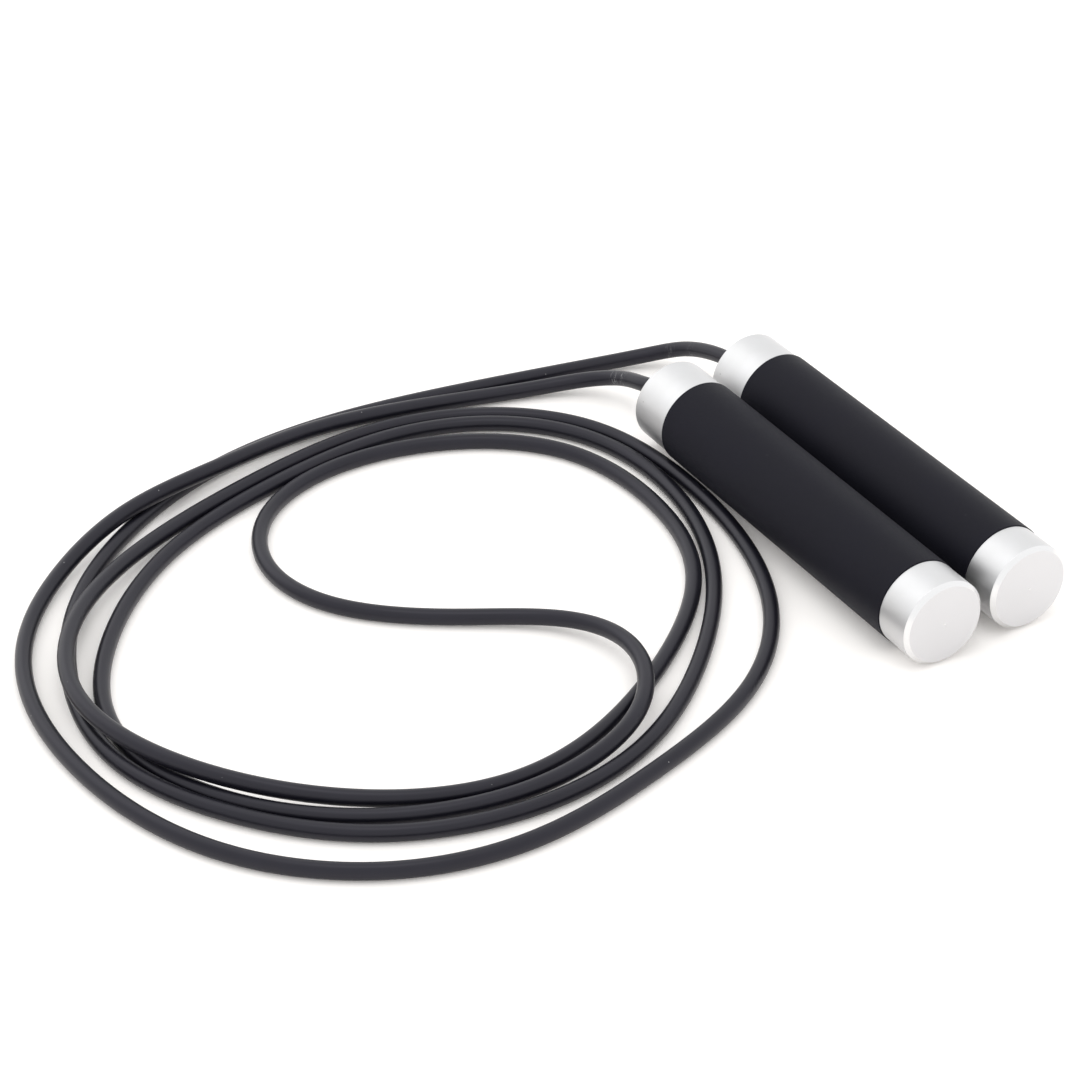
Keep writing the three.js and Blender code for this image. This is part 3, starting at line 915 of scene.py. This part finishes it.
def circlip(name, place):
    """An open spring ring whose two ends widen inwards into lugs, each with a hole for the pliers."""
    ring_width = 1.2
    lug_width = 2.2
    mouth = math.radians(24)
    lug_end = math.radians(40)
    lug_flank = math.radians(4)
    lug_hole = 0.45
    stations = 160
    mesh = bmesh.new()
    sections = []
    for k in range(stations + 1):
        angle = mouth + (2 * math.pi - 2 * mouth) * k / stations
        from_mouth = min(angle, 2 * math.pi - angle)
        lug_share = max(0, min(1, (lug_end - from_mouth) / lug_flank))
        inner = CIRCLIP_OUTER - ring_width - (lug_width - ring_width) * lug_share
        sections.append([
            mesh.verts.new(Vector((along, radius * math.cos(angle), radius * math.sin(angle))) * MM)
            for along, radius in (
                (CIRCLIP_FRONT, inner),
                (CIRCLIP_REAR, inner),
                (CIRCLIP_REAR, CIRCLIP_OUTER),
                (CIRCLIP_FRONT, CIRCLIP_OUTER),
            )
        ])
    join_sections(mesh, sections)
    mesh.faces.new(sections[0])
    mesh.faces.new(sections[-1][::-1])
    piece = add_piece(name, mesh, place, ["spring"])
    for side in (-1, 1):
        angle = side * (mouth + lug_end) / 2
        reach = CIRCLIP_OUTER - lug_width / 2
        drill(piece, place, (reach * math.cos(angle), reach * math.sin(angle)), lug_hole)
    return piece


def drill(piece, place, centre, radius):
    """Cuts a round hole along X through a circlip's lug."""
    cutter_length = 4
    mesh = bmesh.new()
    along_x = Matrix.Rotation(math.pi / 2, 4, "Y")
    middle = Vector(((CIRCLIP_FRONT + CIRCLIP_REAR) / 2, *centre)) * MM
    bmesh.ops.create_cone(
        mesh,
        cap_ends=True,
        segments=24,
        radius1=radius * MM,
        radius2=radius * MM,
        depth=cutter_length * MM,
        matrix=Matrix.Translation(middle) @ along_x,
    )
    cutter = add_piece("cutter", mesh, place, ["spring"])
    cut = piece.modifiers.new("cut", "BOOLEAN")
    cut.operation = "DIFFERENCE"
    cut.solver = "EXACT"
    cut.object = cutter
    bpy.context.view_layer.update()
    done = piece.evaluated_get(bpy.context.evaluated_depsgraph_get())
    piece.data = bpy.data.meshes.new_from_object(done)
    piece.modifiers.clear()
    bpy.data.objects.remove(cutter)


def rope_spindle(name, place):
    return turned(name, [
        (0, CORD_HOLE, 0.3),
        (FLANGE_REAR, CORD_HOLE, 0.2),
        (FLANGE_REAR, FLANGE_RADIUS, 0.2),
        (CIRCLIP_FRONT, FLANGE_RADIUS, 0.2),
        (CIRCLIP_FRONT, SPINDLE_RADIUS),
        (0, SPINDLE_RADIUS, 0.3),
    ], place, ["steel"], closed=True)


def thrust_washer(name, place):
    return turned(name, [
        (WASHER_FRONT, CORD_HOLE, 0.08),
        (WASHER_REAR, CORD_HOLE, 0.08),
        (WASHER_REAR, WASHER_RADIUS, 0.12),
        (WASHER_FRONT, WASHER_RADIUS, 0.12),
    ], place, ["brass"], closed=True)


def rope_stop(name, place):
    """A ferrule, crimped in along its middle."""
    radius = 4.6
    crimp = 0.5
    third = (STOP_REAR - STOP_FRONT) / 3
    return turned(name, [
        (STOP_FRONT, CORD_HOLE, 0.1),
        (STOP_REAR, CORD_HOLE, 0.1),
        (STOP_REAR, radius, 0.3),
        (STOP_REAR - third + crimp, radius, 0.3),
        (STOP_REAR - third, radius - crimp, 0.3),
        (STOP_FRONT + third, radius - crimp, 0.3),
        (STOP_FRONT + third - crimp, radius, 0.3),
        (STOP_FRONT, radius, 0.3),
    ], place, ["brass"], closed=True)


# ---- the weight ----

LINER_FRONT = 32
LINER_REAR = 128
LINER_RADIUS = TUBE_BORE - GAP
LINER_WALL = 1.6
LINER_BORE = LINER_RADIUS - LINER_WALL
WEIGHT_FRONT = 45
WEIGHT_REAR = 115
WEIGHT_RADIUS = LINER_BORE - CLOSE


def weight_liner(name, place):
    return turned(name, [
        (LINER_FRONT, LINER_BORE, 0.3),
        (LINER_REAR, LINER_BORE, 0.3),
        (LINER_REAR, LINER_RADIUS, 0.3),
        (LINER_FRONT, LINER_RADIUS, 0.3),
    ], place, ["foam"], closed=True)


def weight_bar(name, place):
    """A turned bar with chamfered ends and a centre hole in each."""
    chamfer = 1
    centre_hole = 1.5
    return turned(name, [
        (WEIGHT_FRONT + centre_hole, 0),
        (WEIGHT_FRONT, centre_hole, 0.1),
        (WEIGHT_FRONT, WEIGHT_RADIUS - chamfer, 0.2),
        (WEIGHT_FRONT + chamfer, WEIGHT_RADIUS, 0.2),
        (WEIGHT_REAR - chamfer, WEIGHT_RADIUS, 0.2),
        (WEIGHT_REAR, WEIGHT_RADIUS - chamfer, 0.2),
        (WEIGHT_REAR, centre_hole, 0.1),
        (WEIGHT_REAR - centre_hole, 0),
    ], place, ["weight"])


def foam_plug(front, rear):
    """A plug of foam that keeps the weight from knocking, on the given stretch."""

    def build(name, place):
        return turned(name, [
            (front, 0),
            (front, WEIGHT_RADIUS, 0.8),
            (rear, WEIGHT_RADIUS, 0.8),
            (rear, 0),
        ], place, ["foam"])

    return build


# ---- every turned piece: how it is made, the body it rides on, and its slot ----

TURNED = {
    "grip_sleeve": (grip_sleeve, "handle", "soft_touch_rubber"),
    "core_tube": (core_tube, "handle", "core_plastic"),
    "front_cap": (front_cap, "handle", "anodised_aluminium"),
    "rear_cap": (rear_cap, "rear_cap", "anodised_aluminium"),
    "rear_cap_o_ring": (o_ring, "rear_cap", "seal_rubber"),
    "bearing_outer_race": (outer_race, "handle", "bearing_steel"),
    "bearing_inner_race": (inner_race, "rope", "bearing_steel"),
    "ball_cage": (ball_cage, "ball_cage", "bearing_steel"),
    "bearing_front_shield": (shield(FRONT_SHIELD_AT), "handle", "bearing_steel"),
    "bearing_rear_shield": (shield(REAR_SHIELD_AT), "handle", "bearing_steel"),
    "bearing_circlip": (circlip, "handle", "spring_steel"),
    "rope_spindle": (rope_spindle, "rope", "bearing_steel"),
    "thrust_washer": (thrust_washer, "rope", "brass"),
    "rope_stop": (rope_stop, "rope", "brass"),
    "weight_liner": (weight_liner, "handle", "foam"),
    "weight_bar": (weight_bar, "handle", "weight_steel"),
    "foam_plug_front": (foam_plug(LINER_FRONT, WEIGHT_FRONT - CLOSE), "handle", "foam"),
    "foam_plug_rear": (foam_plug(WEIGHT_REAR + CLOSE, LINER_REAR), "handle", "foam"),
}

for letter, place in HANDLES.items():
    for node, (build, body, slot) in TURNED.items():
        piece = build(f"fine_{node}_{letter}", place)
        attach(piece, body if body == "rope" else f"{body}_{letter}")
        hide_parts(f"{node}_{letter}")

# ---- studio ----

FLOOR_REACH = 4
ROOM_LIGHT = 1.22
LIGHTS_AIM = Vector((-0.03, -0.1, 0))


def floor_material():
    """A slightly warm white. Its faint glow stands in for light from the room around."""
    shader = Shader("floor")
    place = shader.place()
    cloudy = shader.noise(place, 3, 2)
    color = shader.mix(cloudy, (0.965, 0.942, 0.918, 1), (0.97, 0.948, 0.925, 1))
    return shader.finish(
        color, 0.95, Specular_IOR_Level=0.1, Emission_Color=(1, 0.97, 0.94, 1), Emission_Strength=0.1
    )


def add_floor():
    mesh = bmesh.new()
    bmesh.ops.create_grid(mesh, x_segments=1, y_segments=1, size=FLOOR_REACH)
    data = bpy.data.meshes.new("floor")
    mesh.to_mesh(data)
    mesh.free()
    data.materials.append(floor_material())
    floor = bpy.data.objects.new("floor", data)
    bpy.context.scene.collection.objects.link(floor)


def add_softbox(name, place, size, power):
    data = bpy.data.lights.new(name, "AREA")
    data.shape = "RECTANGLE"
    data.size, data.size_y = size
    data.energy = power
    light = bpy.data.objects.new(name, data)
    bpy.context.scene.collection.objects.link(light)
    light.location = place
    towards = LIGHTS_AIM - Vector(place)
    light.rotation_euler = towards.to_track_quat("-Z", "Y").to_euler()


def add_studio():
    """A bright white room, with a large softbox up and behind on the left, and a small one above."""
    world = bpy.data.worlds.new("studio")
    world.use_nodes = True
    background = world.node_tree.nodes["Background"]
    background.inputs["Color"].default_value = (0.995, 0.997, 1, 1)
    background.inputs["Strength"].default_value = ROOM_LIGHT
    bpy.context.scene.world = world
    add_softbox("key", place=(-1.15, -0.55, 1.0), size=(1.2, 1.2), power=2.8)
    add_softbox("top", place=(0.0, -0.2, 1.25), size=(0.5, 0.5), power=1.3)
    bpy.context.scene.view_settings.view_transform = "Standard"


add_floor()
add_studio()
